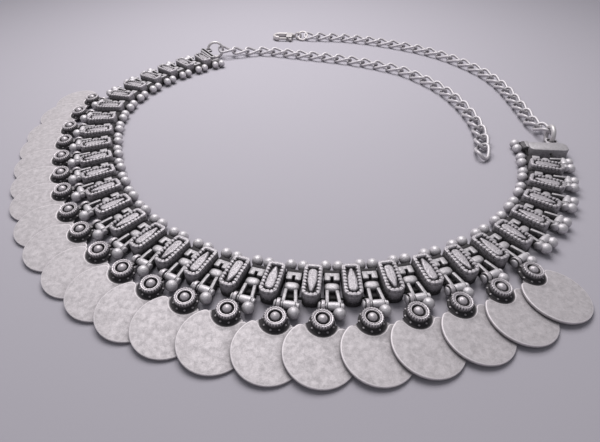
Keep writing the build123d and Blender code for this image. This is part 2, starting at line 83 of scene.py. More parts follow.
# Ball links
ball_diameter = 3.2
ball_spacing = 3.3
ball_height = 2.0
ball_squash = 0.97
outer_ball_diameter = 3.1
outer_ball_spacing = 3.5
outer_ball_reach = 15.3
inner_thread_reach = 2.8
stem_diameter = 1.4
tube_diameter = 2.1
tube_length = 4.0
bracket_bottom = 0.7
bracket_top = 3.3
bracket_start = 3.35
cross_length = 1.15
cross_place = 0.62
# The tone of the tops of the bracket and legs; their lower sides are darker with painted shade
bracket_wear_and_shade = 0.66
inner_leg_width = 1.6
inner_leg_spacing = 2.3
inner_leg_end = 5.9
outer_leg_width = 0.9
outer_leg_start = 9.0
outer_leg_spacing = 2.4
outer_leg_splay = 0.7
outer_leg_short = 0.4
spine_width = 2.2
spine_bottom = 0.3
spine_top = 1.5
cushion_length = 2.6
cushion_width = 3.9
cushion_reach = 7.7
cushion_top = 3.2
cushion_wear_and_shade = 0.72
cushion_power = 3.0
bar_diameter = 1.7
bar_length = 5.8
bar_reach = 13.5
bar_height = 2.4
bar_cap_diameter = 2.3
bar_cap_squash = 0.42
sleeve_diameter = 2.3
sleeve_start = -2.4
sleeve_end = 1.55

# Pendants
pendant_count = 21
first_hanger = 6
last_hanger = first_hanger + pendant_count - 1
bail_inner = 1.05
bail_outer = 1.55
bail_width = 0.9
bail_place = 2.25
boss_reach = 4.6
boss_floor = -0.475
boss_beads = 24
boss_rim_radius = 2.34
boss_rim_height = 1.73
lip_radius = 1.86
lip_height = 1.84
bump_count = 9
bump_diameter = 0.75
bump_reach = 2.85
bump_height = 0.02
dome_diameter = 2.4
dome_height = 1.45
neck_width = 1.8
neck_top = 0.75
neck_place = 2.375
neck_length = 2.05
disc_radius = 8.5
disc_reach = 12.2
disc_floor = -0.65
disc_top = 0.15
disc_thickness = disc_top - disc_floor
bail_rise = 0.25
bite_radius = 3.9
ear_round = 1.4
web_bottom = -0.45
web_top = -0.04
web_lap = 0.45
lap_gap = 0.32
floor_gap = 0.05
disc_steps = 84
ear_steps = 8
bite_steps = 24
fill_spacing = 1.0
swing = 1.8
swing_rhythm = 2.7
settling_steps = 8

# Chain links
link_pitch = 6.7
link_slack = 0.3
link_width = 5.6
link_wire = 1.2
link_twist = -34.0

# End bars: blocks, their pierced lugs and the rings that stand in them
end_bar_length = 13.3
end_bar_reach = 3.7
end_bar_round = 1.9
end_bar_bevel = 0.5
end_tube_diameter = 2.2
end_tube_length = 4.2
shoulder_width = 4.0
shoulder_length = 1.4
shoulder_reach = 3.7
lug_thickness = 1.1
end_table = (
    dict(name="right", station=0, width=5.2, top=3.7, block=1.7, lug=-2.55,
         lug_length=4.3, lug_width=4.2, slot=-3.0, slot_length=3.0, slot_width=2.7,
         lug_reach=13.0, lug_height=2.6),
    dict(name="left", station=unit_count, width=2.8, top=4.7, block=-0.6, lug=1.6,
         lug_length=2.6, lug_width=3.8, slot=1.4, slot_length=2.6, slot_width=2.3,
         lug_reach=13.8, lug_height=4.25),
)
ring_table = (
    dict(node="jump_ring_right", diameter=7.6, wire=1.6, metal="ring_metal"),
    dict(node="jump_ring_left", diameter=8.5, wire=1.2, metal="ring_metal"),
    dict(node="clasp_ring", diameter=6.0, wire=1.0, metal="clasp_metal"),
)

# Clasp: places are along it from the middle of its eye, and across it to its lever's side
lever_pivot = np.array(frame["joints"][0]["pos_m"][:2]) / MM
pivot_place = (5.2, 2.1)
ring_place = (-2.5, 0.0)
clasp_width = 7.2
clasp_bottom = 0.1
clasp_top = 2.7
clasp_eye_height = 2.1
clasp_eye_outer = 4.0
clasp_eye_inner = 2.2
clasp_eye_half = 0.45
clasp_neck_start = 1.5
clasp_neck_length = 2.0
clasp_neck_width = 0.9
clasp_neck_half = 1.0
base_start = 3.2
base_end = 6.4
base_width = 6.7
plate_thickness = 0.64
pin_bottom = 0.6
pin_top = 2.2
pin_radius = 0.45
claw_wire = 1.5
claw_end = 13.9
claw_gap_end = 11.8
lever_height = 1.4
lever_thickness = 1.0
lever_line = 2.85
lever_end = 11.5
lever_width = 1.2
lever_eye_outer = 2.2
lever_eye_inner = 1.02
tab_place = (4.0, 3.7)
tab_radius = 0.75
crank_length = 1.6
crank_width = 0.8
crank_place = (4.75, 3.3)
crank_turn = 145.0


class Form:
    """A mesh in the making: points, faces, and each point's tone of wear and painted shade."""

    def __init__(self):
        self.points = np.zeros((0, 3))
        self.wear_and_shade = np.zeros(0)
        self.faces = []

    def add(self, points, faces, wear_and_shade):
        """Takes in loose points with their faces."""
        start = len(self.points)
        self.points = np.vstack([self.points, points])
        self.wear_and_shade = np.concatenate([self.wear_and_shade, np.broadcast_to(wear_and_shade, len(points))])
        self.faces += [[start + corner for corner in face] for face in faces]
        return self

    def join(self, other, matrix=None):
        """Takes in another form, placed by a matrix."""
        points = other.points
        if matrix is not None:
            points = points @ matrix[:3, :3].T + matrix[:3, 3]
        return self.add(points, other.faces, other.wear_and_shade)


def shift(x=0.0, y=0.0, z=0.0):
    """A move."""
    matrix = np.eye(4)
    matrix[:3, 3] = (x, y, z)
    return matrix


def turned(axis, angle):
    """A turn by degrees about one of the axes x, y and z."""
    first, second = {"x": (1, 2), "y": (2, 0), "z": (0, 1)}[axis]
    matrix = np.eye(4)
    matrix[first, first] = matrix[second, second] = math.cos(math.radians(angle))
    matrix[second, first] = math.sin(math.radians(angle))
    matrix[first, second] = -matrix[second, first]
    return matrix


def middle_of(points):
    """The middle of the box round some points."""
    return (points.min(axis=0) + points.max(axis=0)) / 2


# The collar's layout
def lean_at(station):
    """How many degrees the unit at a station leans."""
    return np.interp(station / unit_count, lean_shares, lean_angles)


def unit_place(station):
    """The place of the unit at a station, counted in pitches from the right end. The way there
    runs round the arcs of the path."""
    place = shift(*path_start) @ turned("z", path_start_heading)
    for number, turn in enumerate(stretch_turns):
        share = np.clip(station / stretch_units - number, 0, 1)
        radius = stretch_units * unit_pitch / math.radians(turn)
        place = place @ shift(0, -radius) @ turned("z", -turn * share) @ shift(0, radius)
    return place @ turned("z", -lean_at(station))


def disc_spacing(unit):
    """How far apart the middles of a disc and its neighbours are."""
    middle = shift(0, bar_reach + disc_reach)
    here = (unit_place(unit) @ middle)[:3, 3]
    gaps = [np.linalg.norm(here - (unit_place(unit + step) @ middle)[:3, 3]) for step in (-1, 1)]
    return sum(gaps) / len(gaps)


def pendant_place(unit):
    """Where a unit's pendant hangs: laid over its left neighbour, its outer edge on the floor."""
    lap_tilt = math.asin((disc_thickness + lap_gap) / disc_spacing(unit))
    droop = 0.0
    for settling in range(settling_steps):
        low = disc_radius * math.hypot(math.sin(droop), math.sin(lap_tilt))
        drop = bar_height - bail_rise - disc_thickness / 2 - floor_gap - low
        droop = math.asin(drop / disc_reach)
    turn = (turned("x", -math.degrees(droop)) @ turned("y", -math.degrees(lap_tilt))
            @ turned("z", swing * math.sin(swing_rhythm * unit)))
    return unit_place(unit) @ shift(bail_place, bar_reach, bar_height) @ turn


# Ways of making a form
def circle(radius, height, sides):
    """Points round a level circle about z."""
    angles = np.arange(sides) * 2 * math.pi / sides
    return np.stack([radius * np.cos(angles), radius * np.sin(angles), np.full(sides, height)],
                    axis=1)


def arc_points(centre, radius, start, end, steps):
    """Points along an arc in the plane, both ends included, by degrees."""
    angles = np.radians(np.linspace(start, end, steps + 1))
    return np.stack([centre[0] + radius * np.cos(angles),
                     centre[1] + radius * np.sin(angles)], axis=1)


def squared(points, across, along, power):
    """Points round z stretched from circles to outlines between an oval and a rectangle."""
    angles = np.arctan2(points[:, 1], points[:, 0])
    reach = (np.abs(np.cos(angles)) ** power + np.abs(np.sin(angles)) ** power) ** (-1 / power)
    return points * np.stack([reach * across / 2, reach * along / 2, reach ** 0], axis=1)


def squared_circle(across, along, power, height, sides=40):
    """An outline between an oval and a rectangle, about the origin."""
    return squared(circle(1, height, sides), across, along, power)


def skin(loops, wear_and_shade, ring=False):
    """A closed form through loops of points, joined end to end if it is a ring."""
    count = len(loops[0])
    rows = len(loops)
    faces = []
    for row in range(rows if ring else rows - 1):
        after = (row + 1) % rows
        for here in range(count):
            there = (here + 1) % count
            faces.append([row * count + here, row * count + there,
                          after * count + there, after * count + here])
    if not ring:
        faces.append(list(range(count))[::-1])
        faces.append([(rows - 1) * count + corner for corner in range(count)])
    wear_and_shade = np.asarray(wear_and_shade, float)
    if wear_and_shade.ndim == 1 and len(wear_and_shade) == rows:
        wear_and_shade = np.repeat(wear_and_shade, count)
    return Form().add(np.vstack(loops), faces, wear_and_shade.ravel())


def layered(outline, levels):
    """A closed form through an outline at each level, as the rows of a table give them."""
    loops = [outline(level["inset"], level["height"]) for level in levels]
    return skin(loops, [level["wear_and_shade"] for level in levels])


def lathe(profile, sides):
    """A form turned about z from rows of radius, height and tone of wear and painted shade. A
    radius of 0 is a pole.
    """
    form = Form()
    rings = []
    for radius, height, wear_and_shade in profile:
        start = len(form.points)
        if radius == 0:
            form.add(np.array([[0.0, 0.0, height]]), [], wear_and_shade)
            rings.append([start] * sides)
        else:
            form.add(circle(radius, height, sides), [], wear_and_shade)
            rings.append(list(range(start, start + sides)))
    for low, high in zip(rings, rings[1:]):
        for here in range(sides):
            there = (here + 1) % sides
            face = (low[here], low[there], high[there], high[here])
            form.faces.append(list(dict.fromkeys(face)))
    return form


def ball(diameter, squash=1.0, sides=20, rings=12, low_wear_and_shade=0.45):
    """A cast ball about the origin, darker underneath with painted shade."""
    profile = []
    for step in range(rings + 1):
        angle = math.pi * (step / rings - 0.5)
        radius = 0 if step in (0, rings) else diameter / 2 * math.cos(angle)
        height = diameter / 2 * math.sin(angle)
        share = np.clip(step / rings * 2.2 - 0.3, 0, 1)
        profile.append((radius, height, low_wear_and_shade + (1 - low_wear_and_shade) * share))
    form = lathe(profile, sides)
    form.points[:, 0] *= squash
    return form


def resampled(line, count):
    """A closed line's points, made evenly spaced."""
    closed = np.vstack([line, line[:1]])
    lengths = np.concatenate([[0], np.cumsum(np.linalg.norm(np.diff(closed, axis=0), axis=1))])
    wanted = np.arange(count) / count * lengths[-1]
    return np.stack([np.interp(wanted, lengths, along) for along in closed.T], axis=1)


def line_length(line):
    """The length round a closed line."""
    return np.linalg.norm(np.roll(line, -1, axis=0) - line, axis=1).sum()


def swept(line, ups, section, wear_and_shade, closed=True, skew=0.0):
    """A bar whose section, in steps inward and up, is carried along a line. Each place on the
    line may have its own section and its own way up. With a skew its inner side runs ahead."""
    if closed:
        ahead = np.roll(line, -1, axis=0) - np.roll(line, 1, axis=0)
    else:
        ahead = np.gradient(line, axis=0)
    ahead /= np.linalg.norm(ahead, axis=1)[:, None]
    inward = np.cross(ups, ahead)
    inward /= np.linalg.norm(inward, axis=1)[:, None]
    upward = np.cross(ahead, inward)
    section = np.asarray(section)
    sections = np.broadcast_to(section, (len(line),) + section.shape[-2:])
    loops = []
    for point, forward, side, top, steps in zip(line, ahead, inward, upward, sections):
        loops.append(point + steps[:, :1] * (side + skew * forward) + steps[:, 1:] * top)
    return skin(loops, wear_and_shade, ring=closed)


# A bead of a beaded rim: how deep its notch is at each step from one notch to the next
bead_steps = (1.0, 0.5, 0.08, 0.0, 0.0, 0.08, 0.5)


def beaded(line, rim, beads, depth=None, skew=0.0):
    """A beaded rim along a closed line: rim has its section at a bead and at a notch, and its tone
    there, dark in the notch with patina and painted shade. Each place on the line may have its
    share of the notch's depth."""
    line = resampled(line, beads * len(bead_steps))
    share = np.ones(len(line)) if depth is None else depth(line)
    cut = (np.tile(bead_steps, beads) * share)[:, None, None]
    sections = np.array(rim["bead"]) * (1 - cut) + np.array(rim["notch"]) * cut
    wear_and_shade = 1 - cut[:, 0] * (1 - np.array(rim["notch_wear_and_shade"]))
    return swept(line, UP, sections, wear_and_shade.ravel(), skew=skew)


def rounded_loop(width, length, near_round, far_round, height, arc_steps=5, side_steps=5):
    """A rectangle with round corners about the origin, its ends at low y and high y."""
    corners = ((1, -1, near_round, -90), (1, 1, far_round, 0), (-1, 1, far_round, 90),
               (-1, -1, near_round, 180))
    arcs = []
    for x, y, radius, start in corners:
        middle = (x * (width / 2 - radius), y * (length / 2 - radius))
        arcs.append(arc_points(middle, radius, start, start + 90, arc_steps))
    points = []
    for arc, after in zip(arcs, arcs[1:] + arcs[:1]):
        points.append(arc)
        shares = np.linspace(0, 1, side_steps + 1)[1:-1, None]
        points.append(arc[-1] + (after[0] - arc[-1]) * shares)
    flat = np.vstack(points)
    return np.column_stack([flat, np.full(len(flat), height)])


def slab(width, length, bottom, top, corner, bevel, low_wear_and_shade=0.3, top_wear_and_shade=1.0):
    """A cast block about the origin with round corners and soft edges, darker at its bottom with
    painted shade.
    """
    levels = (
        (bevel / 2, bottom, low_wear_and_shade / 2),
        (0, bottom + bevel / 2, low_wear_and_shade),
        (0, top - bevel, (low_wear_and_shade + top_wear_and_shade) / 2),
        (bevel * 0.3, top - bevel * 0.35, top_wear_and_shade),
        (bevel, top, top_wear_and_shade),
    )
    loops = []
    for inset, height, _ in levels:
        radius = max(corner - inset, bevel / 4)
        loops.append(rounded_loop(width - 2 * inset, length - 2 * inset, radius, radius, height,
                                  arc_steps=4, side_steps=2))
    return skin(loops, [wear_and_shade for _, _, wear_and_shade in levels])


def rod(diameter, length, bevel, sides=18, wear_and_shade=1.0, low_wear_and_shade=0.3):
    """A round bar along x about the origin, darker underneath with painted shade."""
    radius = diameter / 2
    half = length / 2
    profile = [(0, -half, wear_and_shade), (radius - bevel, -half, wear_and_shade), (radius, -half + bevel, wear_and_shade),
               (radius, half - bevel, wear_and_shade), (radius - bevel, half, wear_and_shade), (0, half, wear_and_shade)]
    form = Form().join(lathe(profile, sides), turned("y", 90))
    form.wear_and_shade = np.interp(form.points[:, 2] / radius, (-1, 0), (low_wear_and_shade, wear_and_shade))
    return form


# Frame link: its walls, its beaded rim and the pad in its well
rope = dict(
    bead=((0.58, -0.70), (0.66, -0.20), (0.60, 0.26), (0.36, 0.50), (-0.10, 0.55),
          (-0.42, 0.42), (-0.56, 0.06), (-0.52, -0.30)),
    notch=((0.34, -0.70), (0.34, -0.30), (0.32, 0.08), (0.24, 0.32), (-0.08, 0.45),
           (-0.38, 0.35), (-0.54, 0.04), (-0.52, -0.30)),
    # Tones in a notch: dark low down with patina and painted shade, lighter towards the top
    notch_wear_and_shade=(-0.30, -0.30, -0.20, 0.00, 0.30, 0.35, 0.25, 0.10),
)
# Tones by level: the low walls dark with painted shade, as in the gaps between links; the rim
# bright with wear
frame_levels = (
    dict(inset=0.35, height=0.10, wear_and_shade=-0.20),
    dict(inset=0.05, height=0.35, wear_and_shade=-0.20),
    dict(inset=0.00, height=1.60, wear_and_shade=0.15),
    dict(inset=0.00, height=2.70, wear_and_shade=0.70),
    dict(inset=0.02, height=3.95, wear_and_shade=0.95),
    dict(inset=0.12, height=4.12, wear_and_shade=0.10),
    dict(inset=0.30, height=4.30, wear_and_shade=0.00),
    dict(inset=0.85, height=4.30, wear_and_shade=0.00),
    dict(inset=1.05, height=3.95, wear_and_shade=-0.20),
    dict(inset=1.30, height=3.90, wear_and_shade=-0.20),
)
pad_levels = (
    dict(inset=-0.10, height=3.85, wear_and_shade=-0.10),
    dict(inset=-0.06, height=4.20, wear_and_shade=0.15),
    dict(inset=0.00, height=pad_top - 0.30, wear_and_shade=0.70),
    dict(inset=0.12, height=pad_top - 0.12, wear_and_shade=0.90),
    dict(inset=0.32, height=pad_top - 0.02, wear_and_shade=0.85),
    dict(inset=0.62, height=pad_top, wear_and_shade=0.80),
)


def frame_outline(inset, height, arc_steps=5, side_steps=5):
    """The frame's outline shrunk all round, its outer end rounder than its inner end."""
    inner_round, outer_round = (max(full - inset, frame_least_round)
                                for full in (frame_inner_round, frame_outer_round))
    loop = rounded_loop(frame_width - 2 * inset, frame_length - 2 * inset, inner_round,
                        outer_round, height, arc_steps, side_steps)
    return loop + np.array([0, frame_reach + frame_length / 2, 0])


def pad_loop(tip_side, inset, height, steps=12):
    """The pad's outline shrunk all round: a round end, level sides and a taper to a blunt tip,
    which is outward if the side is 1."""
    radius = pad_radius - inset
    tip_radius = max(pad_tip_radius - inset, pad_least_tip)
    round_place = pad_radius - pad_length / 2
    tip_place = pad_length / 2 - pad_tip_radius
    along = np.linspace(round_place, tip_place, steps + 1)[1:-1]
    left = (tip_place - along) / (tip_place - round_place)
    taper = np.clip(1 - left / pad_taper_share, 0, 1) ** pad_taper_power
    across = radius + (tip_radius - radius) * taper
    line = np.vstack([
        arc_points((round_place, 0), radius, 90, 270, steps),
        np.stack([along, -across], axis=1),
        arc_points((tip_place, 0), tip_radius, -90, 90, steps // 2),
        np.stack([along, across], axis=1)[::-1],
    ])
    middle = frame_reach + frame_length / 2
    return np.column_stack([-line[:, 1] * tip_side, middle + line[:, 0] * tip_side,
                            np.full(len(line), height)])


def along_frame(points):
    """How far points are along a frame, 0 at its inner end and 1 at its outer end."""
    return (points[:, 1] - frame_reach) / frame_length


def rope_depth(points):
    """A frame's beads are deep along its sides and shallow across its ends."""
    return np.interp(along_frame(points), (0.08, 0.2, 0.86, 0.96), (0.1, 1.0, 1.0, 0.5))


def frame_form(tip_side):
    """One frame link at the origin."""
    loops = [frame_outline(level["inset"], level["height"]) for level in frame_levels]
    ends = np.interp(along_frame(loops[0]), (0.05, 0.1, 0.86, 0.95), (0.7, 0.5, 0.5, 1.0))
    wear_and_shade = [level["wear_and_shade"] * (ends if level["wear_and_shade"] > 0 else np.ones(len(ends)))
            for level in frame_levels]
    form = skin(loops, np.concatenate(wear_and_shade))
    rope_line = frame_outline(rope_inset, frame_top - rope_drop, arc_steps=10, side_steps=20)
    beads = round(line_length(rope_line) / rope_pitch)
    form.join(beaded(rope_line, rope, beads, rope_depth, rope_skew))
    return form.join(layered(lambda inset, height: pad_loop(tip_side, inset, height), pad_levels))


# Ball link
def strut(width, length, top, corner, bevel):
    """A piece of a ball link's bracket or legs, about the origin."""
    return slab(width, length, bracket_bottom, top, corner, bevel, low_wear_and_shade=0.0,
                top_wear_and_shade=bracket_wear_and_shade)


def leg_form(start, end, width):
    """An outer leg from one point to another in plan, with a small foot at its end."""
    run = math.hypot(end[0] - start[0], end[1] - start[1])
    turn = math.degrees(math.atan2(end[1] - start[1], end[0] - start[0]))
    place = shift(start[0], start[1]) @ turned("z", turn)
    form = Form().join(strut(run, width, bracket_top, 0.3, 0.22), place @ shift(run / 2))
    foot = strut(width * 0.9, width * 1.2, bracket_top - 0.15, 0.3, 0.2)
    return form.join(foot, place @ shift(run - width * 0.35))


def bracket_form():
    """The inner bracket: a cross piece and two wide legs with a narrow gap between them."""
    cross = strut(inner_leg_spacing, cross_length, bracket_top - 0.04, 0.2, 0.2)
    form = Form().join(cross, shift(0, bracket_start + cross_place))
    leg_length = inner_leg_end - bracket_start
    for side in (-1, 1):
        leg = strut(inner_leg_width, leg_length, bracket_top, 0.35, 0.28)
        form.join(leg, shift(side * inner_leg_spacing / 2, bracket_start + leg_length / 2))
    return form


def sleeve_form():
    """The plump sleeve on a cross bar, with a groove near each end, dark in its grooves and
    underneath with painted shade.
    """
    radius = sleeve_diameter / 2
    half = (sleeve_end - sleeve_start) / 2
    steps = (
        dict(share=0.00, from_end=0.00, wear_and_shade=0.6),
        dict(share=0.72, from_end=0.00, wear_and_shade=0.6),
        dict(share=0.86, from_end=0.12, wear_and_shade=0.9),
        dict(share=0.86, from_end=0.34, wear_and_shade=0.8),
        dict(share=0.80, from_end=0.46, wear_and_shade=-0.1),
        dict(share=0.93, from_end=0.60, wear_and_shade=0.9),
        dict(share=1.00, from_end=0.65 * half, wear_and_shade=1.0),
    )
    profile = [(radius * step["share"], side * (half - step["from_end"]), step["wear_and_shade"])
               for side in (-1, 1) for step in steps[::-side]]
    form = Form().join(lathe(profile, 20), turned("y", 90))
    form.wear_and_shade = form.wear_and_shade * np.interp(form.points[:, 2] / radius, (-0.5, 0.3), (0.0, 1.0))
    return form


def ball_pair(diameter, length, wear_and_shade):
    """The two inner balls, their stems and the tube that the inner thread runs in, by the tube's
    diameter, length and tone of wear and painted shade. The stems are dark with painted shade."""
    form = Form()
    for side in (-1, 1):
        across = side * ball_spacing / 2
        form.join(ball(ball_diameter, squash=ball_squash), shift(across, 0, ball_height))
        stem = rod(stem_diameter, inner_thread_reach, 0.1, sides=12, wear_and_shade=-0.1, low_wear_and_shade=-0.2)
        form.join(stem, shift(across, inner_thread_reach / 2, ball_height) @ turned("z", 90))
    tube = rod(diameter, length, 0.2, wear_and_shade=wear_and_shade, low_wear_and_shade=-0.2)
    return form.join(tube, shift(0, inner_thread_reach, ball_height))


def ball_link_form(hanger):
    """One ball link at the origin. One that carries a pendant has a free place for its bail."""
    form = ball_pair(tube_diameter, tube_length, -0.1).join(bracket_form())
    for side in (-1, 1):
        splay = 0 if hanger and side == 1 else side * outer_leg_splay
        across = side * outer_leg_spacing / 2
        form.join(leg_form((across, outer_leg_start), (across + splay, bar_reach - outer_leg_short),
                           outer_leg_width))
    # The spine is painted dark all over, as shade between the links
    spine = slab(spine_width, bar_reach - inner_thread_reach, spine_bottom, spine_top, 0.3, 0.15,
                 low_wear_and_shade=-0.2, top_wear_and_shade=-0.1)
    form.join(spine, shift(0, (bar_reach + inner_thread_reach) / 2))
    form.join(cushion_form(), shift(0, cushion_reach))
    form.join(rod(bar_diameter, bar_length, 0.2), shift(0, bar_reach, bar_height))
    form.join(sleeve_form(), shift((sleeve_start + sleeve_end) / 2, bar_reach, bar_height))
    cap = ball(bar_cap_diameter, squash=bar_cap_squash, sides=18, rings=10)
    form.join(cap, shift(bar_length / 2 + 0.1, bar_reach, bar_height))
    for side in (-1,) if hanger else (-1, 1):
        form.join(ball(outer_ball_diameter),
                  shift(side * outer_ball_spacing / 2, outer_ball_reach, ball_height))
    return form


def cushion_form(sides=36):
    """The cushion in the middle of a ball link, about the origin: a plump rounded block, darker low
    down with painted shade.
    """
    profile = (
        (0.98, spine_bottom, -0.1), (1.00, 1.0, -0.1), (1.00, 2.0, 0.15), (0.98, 2.45, 0.7),
        (0.91, 2.82, 1.0), (0.76, 3.06, 1.0), (0.45, cushion_top - 0.02, 1.0),
        (0, cushion_top, 1.0),
    )
    form = lathe([(radius, height, wear_and_shade * cushion_wear_and_shade) for radius, height, wear_and_shade in profile],
                 sides)
    form.points = squared(form.points, cushion_width, cushion_length, cushion_power)
    return form


# Pendant: its bail, boss, disc and the thin web between them
def disc_loop(inset, height):
    """The bitten disc's outline shrunk all round, its ears rounded."""
    gap = disc_reach - boss_reach
    from_disc = disc_radius - ear_round
    from_bite = bite_radius + ear_round
    ear_rise = (from_bite ** 2 - from_disc ** 2 + gap ** 2) / (2 * gap)
    ear_across = math.sqrt(from_bite ** 2 - ear_rise ** 2)
    disc_angle = math.degrees(math.atan2(ear_rise - gap, ear_across))
    bite_angle = math.degrees(math.atan2(ear_rise, ear_across))
    disc, bite = (0, disc_reach), (0, boss_reach)
    right, left = ((side * ear_across, boss_reach + ear_rise) for side in (1, -1))
    arcs = (
        (disc, disc_radius - inset, disc_angle, 180 - disc_angle, disc_steps),
        (left, ear_round - inset, 180 - disc_angle, 360 - bite_angle, ear_steps),
        (bite, bite_radius + inset, 180 - bite_angle, bite_angle, bite_steps),
        (right, ear_round - inset, 180 + bite_angle, 360 + disc_angle, ear_steps),
    )
    outline = np.vstack([arc_points(*arc)[:-1] for arc in arcs])
    return np.column_stack([outline, np.full(len(outline), height)])


def filled(loop, spacing, clearance=0.55):
    """Triangles that fill a flat outline, with points spaced through it. They keep clear of the
    outline by a share of their spacing."""
    outline = loop[:, :2]
    low, high = outline.min(axis=0), outline.max(axis=0)
    inside = [tuple(point) for point in outline]
    for row, y in enumerate(np.arange(low[1], high[1], spacing * math.sqrt(3) / 2)):
        for x in np.arange(low[0] + (row % 2) * spacing / 2, high[0], spacing):
            if np.linalg.norm(outline - (x, y), axis=1).min() > spacing * clearance:
                inside.append((x, y))
    border = list(range(len(outline)))
    edges = list(zip(border, border[1:] + border[:1]))
    inside_only, least_gap = 1, 1e-6
    found = delaunay_2d_cdt([Vector(point) for point in inside], edges, [border], inside_only,
                            least_gap)
    points = np.array([(point.x, point.y, loop[0, 2]) for point in found[0]])
    return points, [list(face) for face in found[2]]


# Tones by level: the underside darker with painted shade, the bevel round the top edge brightest
disc_levels = (
    dict(inset=0.26, height=disc_floor, wear_and_shade=0.5),
    dict(inset=0.05, height=disc_floor + 0.07, wear_and_shade=0.75),
    dict(inset=0.00, height=disc_floor + 0.2, wear_and_shade=0.9),
    dict(inset=0.00, height=disc_top - 0.22, wear_and_shade=1.1),
    dict(inset=0.04, height=disc_top - 0.08, wear_and_shade=1.2),
    dict(inset=0.14, height=disc_top - 0.01, wear_and_shade=1.1),
    dict(inset=0.36, height=disc_top, wear_and_shade=0.65),
)


def disc_form():
    """The bitten disc of a pendant, its top face filled with even triangles."""
    form = layered(disc_loop, disc_levels)
    del form.faces[-1]
    top = disc_levels[-1]
    points, faces = filled(disc_loop(top["inset"], top["height"]), fill_spacing)
    return form.add(points, faces, top["wear_and_shade"])


# Tones: the flange and groove dark with patina and painted shade
boss_profile = (
    (0.00, boss_floor, -0.3), (3.05, boss_floor, -0.3), (3.12, -0.25, -0.3), (3.02, 0.05, -0.2),
    (2.62, 0.30, -0.2), (2.62, 1.25, 0.4), (2.50, 1.40, 0.2), (2.10, 1.55, 0.0),
    (1.70, 1.60, 0.2), (1.62, 1.35, -0.2), (1.55, 1.10, -0.3), (1.20, 1.05, -0.3),
    (0.00, 1.05, -0.3),
)
boss_rim = dict(
    bead=((0.32, -0.30), (0.36, 0.05), (0.22, 0.34), (-0.04, 0.42), (-0.26, 0.30),
          (-0.36, 0.02), (-0.30, -0.30)),
    notch=((0.32, -0.30), (0.36, 0.05), (0.22, 0.33), (-0.04, 0.37), (-0.17, 0.16),
           (-0.19, -0.02), (-0.17, -0.30)),
    notch_wear_and_shade=(0.3, 0.8, 1.0, 0.8, 0.2, 0.1, 0.1),
)
lip_section = ((0.20, -0.25), (0.22, 0.02), (0.10, 0.20), (-0.10, 0.20), (-0.24, -0.02),
               (-0.22, -0.25))


def boss_form(sides=48, rim_steps=120):
    """The boss about its own middle: a flange with bumps, a beaded rim with a smooth lip, a groove
    and a dome. The flange and groove are dark with patina and painted shade, and the bumps and dome
    are darker low down with painted shade."""
    form = lathe(boss_profile, sides)
    form.join(beaded(circle(boss_rim_radius, boss_rim_height, rim_steps), boss_rim, boss_beads))
    form.join(swept(circle(lip_radius, lip_height, rim_steps), UP, lip_section, 0.85))
    for number in range(bump_count):
        bump = ball(bump_diameter, sides=10, rings=6)
        bump.wear_and_shade = np.interp(bump.points[:, 2], (0.05, 0.35), (-0.1, 0.80))
        turn = turned("z", number * 360 / bump_count)
        form.join(bump, turn @ shift(bump_reach, 0, bump_height))
    dome = ball(dome_diameter, sides=24, rings=14)
    dome.wear_and_shade = np.interp(dome.points[:, 2], (-0.2, 0.35), (-0.1, 1.0))
    return form.join(dome, shift(0, 0, dome_height))


def bail_form(sides=26):
    """The bail about its axis, a flat strap bent round the bar, darker on its inner side with
    painted shade.
    """
    line = circle((bail_inner + bail_outer) / 2, 0, sides)[:, [2, 0, 1]]
    section = rounded_loop(bail_outer - bail_inner, bail_width, 0.16, 0.16, 0, arc_steps=3,
                           side_steps=1)[:, :2]
    form = swept(line, np.array([1.0, 0.0, 0.0]), section, 0.9)
    out = np.hypot(form.points[:, 1], form.points[:, 2])
    form.wear_and_shade = np.interp(out, (bail_inner, bail_outer), (0.2, 1.0))
    return form


def web_form():
    """The thin web that carries the disc in its bite, about the boss's middle, dark with painted
    shade under the boss. Where it would come out beyond the disc it is drawn in."""
    web = lathe(((0, web_bottom, -0.4), (bite_radius + web_lap, web_bottom, 0.4),
                 (bite_radius + web_lap, web_top, 0.7), (bite_radius, web_top, 0.5),
                 (bite_radius - 0.5, web_top, -0.3), (0, web_top, -0.4)), 40)
    middle = np.array([0.0, disc_reach - boss_reach])
    out = web.points[:, :2] - middle
    far = np.maximum(np.linalg.norm(out, axis=1), 1e-6)
    web.points[:, :2] = middle + out * np.minimum(1.0, (disc_radius - web_lap) / far)[:, None]
    return web


def pendant_form():
    """One pendant, its bail's axis at the origin and its disc outward."""
    form = disc_form()
    form.join(web_form(), shift(0, boss_reach))
    form.join(boss_form(), shift(0, boss_reach))
    form.join(bail_form())
    # The neck is darker low down, with painted shade
    neck = slab(neck_width, neck_length, boss_floor + 0.05, neck_top, 0.3, 0.2, low_wear_and_shade=-0.2,
                top_wear_and_shade=0.4)
    return form.join(neck, shift(0, neck_place))


# Chain links: ovals of wire twisted a little, as in a curb chain
def islands(node):
    """The loose solids of a CAD node, as arrays of points in millimetres."""
    mesh = bmesh.new()
    mesh.from_mesh(frame["nodes"][node].data)
    bmesh.ops.remove_doubles(mesh, verts=mesh.verts, dist=1e-6)
    left = set(mesh.verts)
    found = []
    while left:
        group, edge = set(), [left.pop()]
        while edge:
            vertex = edge.pop()
            group.add(vertex)
            for link in vertex.link_edges:
                other = link.other_vert(vertex)
                if other in left:
                    left.discard(other)
                    edge.append(other)
        found.append(np.array([tuple(vertex.co) for vertex in group]) / MM)
    mesh.free()
    return found


